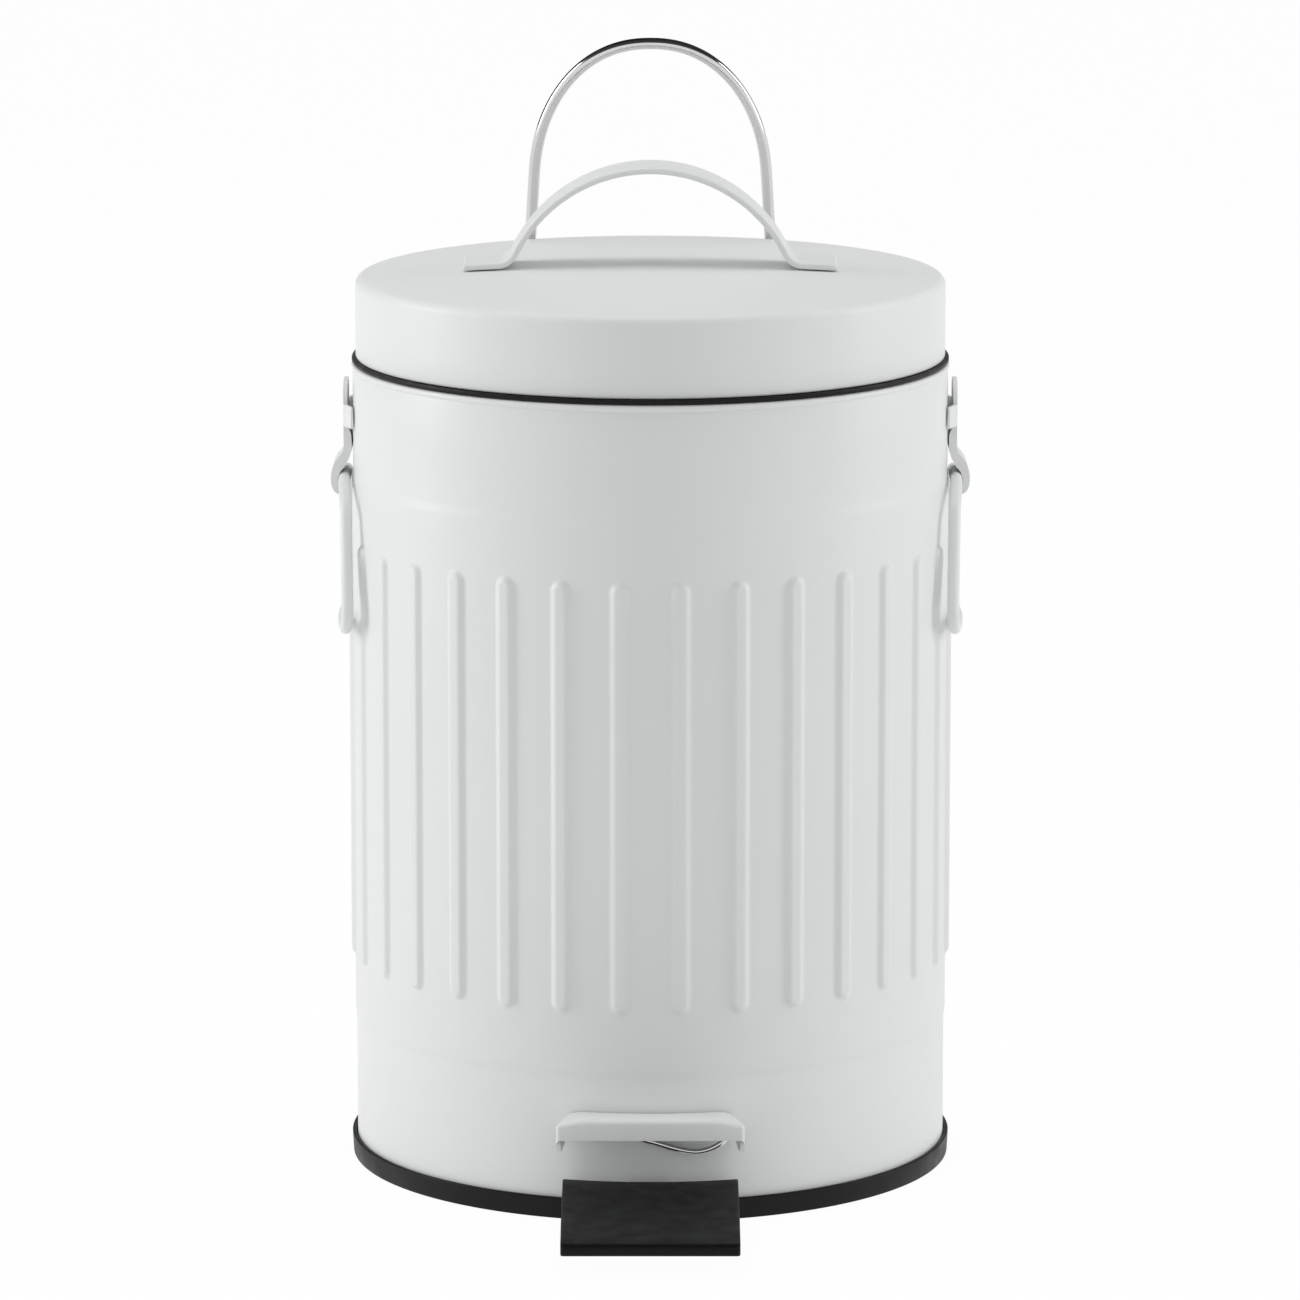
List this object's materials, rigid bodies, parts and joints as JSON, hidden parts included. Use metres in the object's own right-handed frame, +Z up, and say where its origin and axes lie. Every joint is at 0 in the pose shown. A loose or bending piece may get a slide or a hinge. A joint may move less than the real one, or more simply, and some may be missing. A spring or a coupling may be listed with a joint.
{
  "type": "pedal bin",
  "caption": "Small ribbed steel pedal bin with a hinged domed lid, strap handle on the lid, rear wire bail, two side rings and a lift-out bucket.",
  "frame": {"origin": "on the floor, under the middle of the bin's outline from the pedal's front edge to the bail's eyes at the back; the body's own axis is 26.1 mm behind it", "axes": "+Z up, front with the pedal towards -Y, +X to the right when facing along +Y"},
  "size_m": [0.182, 0.2387, 0.3159],
  "materials": {
    "white_coat": "white powder coat, satin",
    "chrome": "polished",
    "zinc_steel": "bright zinc",
    "black_plastic": "satin",
    "pad_plastic": "matt, finely grained",
    "bucket_plastic": "satin"
  },
  "bodies": {
    "bin": {"body_shell": "white_coat", "base_ring": "black_plastic", "rim_ring": "black_plastic", "floor_pan": "zinc_steel", "pedal_hood": "white_coat", "hood_bow": "chrome", "pivot_yoke": "zinc_steel", "lever_pin": "zinc_steel", "rod_guide": "zinc_steel", "hinge_bracket": "white_coat", "bracket_rivet_left": "zinc_steel", "bracket_rivet_right": "zinc_steel", "hinge_pin": "chrome", "pin_cap": "chrome", "side_bracket_left": "white_coat", "side_bracket_right": "white_coat", "inner_bucket": "bucket_plastic"},
    "lid": {"lid_shell": "white_coat", "lid_handle": "white_coat", "lid_hinge": "zinc_steel", "lid_rivet_left": "zinc_steel", "lid_rivet_right": "zinc_steel"},
    "bail": {"carry_bail": "chrome"},
    "pedal": {"pedal_lever": "zinc_steel", "pedal_pad": "pad_plastic"},
    "rod": {"push_rod": "zinc_steel"},
    "left_ring": {"side_ring_left": "white_coat"},
    "right_ring": {"side_ring_right": "white_coat"},
    "bucket_handle": {"bucket_bail": "zinc_steel"}
  },
  "joints": [
    {"name": "lid_open", "type": "hinge", "parent": "bin", "child": "lid", "pos_m": [0, 0.1154, 0.2215], "axis": [-1, 0, 0], "range_deg": [0, 75]},
    {"name": "pedal_press", "type": "hinge", "parent": "bin", "child": "pedal", "pos_m": [0, -0.0509, 0.0072], "axis": [1, 0, 0], "range_deg": [0, 4.65]},
    {"name": "rod_lift", "type": "slide", "parent": "bin", "child": "rod", "axis": [0, 0, 1], "range_m": [0, 0.01274]},
    {"name": "bail_swing", "type": "hinge", "parent": "lid", "child": "bail", "pos_m": [0, 0.1154, 0.2215], "axis": [-1, 0, 0], "range_deg": [0, 120]},
    {"name": "left_ring_swing", "type": "hinge", "parent": "bin", "child": "left_ring", "pos_m": [-0.0872, 0.0261, 0.1972], "axis": [0, 1, 0], "range_deg": [0, 150]},
    {"name": "right_ring_swing", "type": "hinge", "parent": "bin", "child": "right_ring", "pos_m": [0.0872, 0.0261, 0.1972], "axis": [0, -1, 0], "range_deg": [0, 150]},
    {"name": "bucket_bail_swing", "type": "hinge", "parent": "bin", "child": "bucket_handle", "pos_m": [0, 0.0261, 0.2357], "axis": [-1, 0, 0], "range_deg": [0, 11]}
  ],
  "couplings": [
    {"joint": "pedal_press", "follows": "lid_open", "ratio": 0.061957},
    {"joint": "rod_lift", "follows": "lid_open", "m_per_rad": 0.009729}
  ]
}
